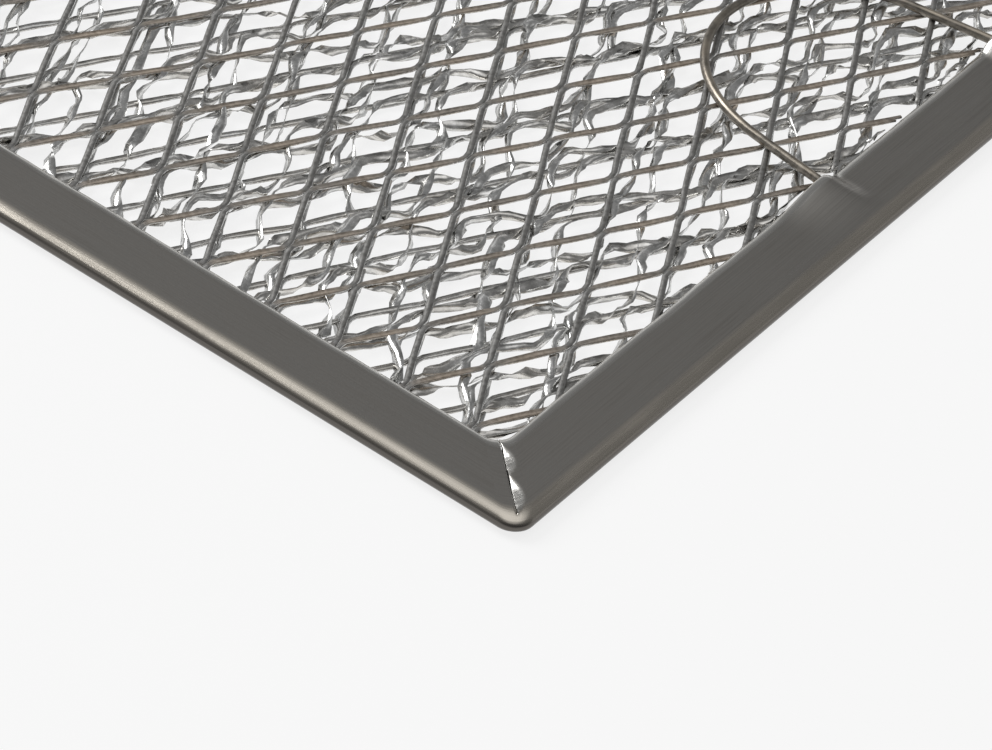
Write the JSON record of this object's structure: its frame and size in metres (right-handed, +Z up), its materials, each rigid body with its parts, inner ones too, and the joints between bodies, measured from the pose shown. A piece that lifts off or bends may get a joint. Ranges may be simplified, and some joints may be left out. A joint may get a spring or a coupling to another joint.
{
  "type": "microwave grease filter",
  "caption": "Flat rectangular grease filter: a folded aluminium strip frames stacked sheets of expanded mesh, with a wire pull ring at the middle of one short side.",
  "frame": {"origin": "on the surface that the filter lies on, under the middle of the frame", "axes": "+X along the long side towards the side with the pull ring, +Y along the short side, +Z up out of the face that carries the ring"},
  "size_m": [0.1938, 0.127, 0.0024],
  "materials": {
    "strip_aluminium": "dull brushed strip, brushed along each leg",
    "mesh_aluminium": "bright cut foil",
    "ring_wire": "dull drawn wire"
  },
  "bodies": {
    "root": {"frame": "strip_aluminium", "upper_face_mesh": "mesh_aluminium", "upper_inner_mesh": "mesh_aluminium", "lower_inner_mesh": "mesh_aluminium", "lower_face_mesh": "mesh_aluminium", "pull_ring": "ring_wire"}
  },
  "joints": []
}
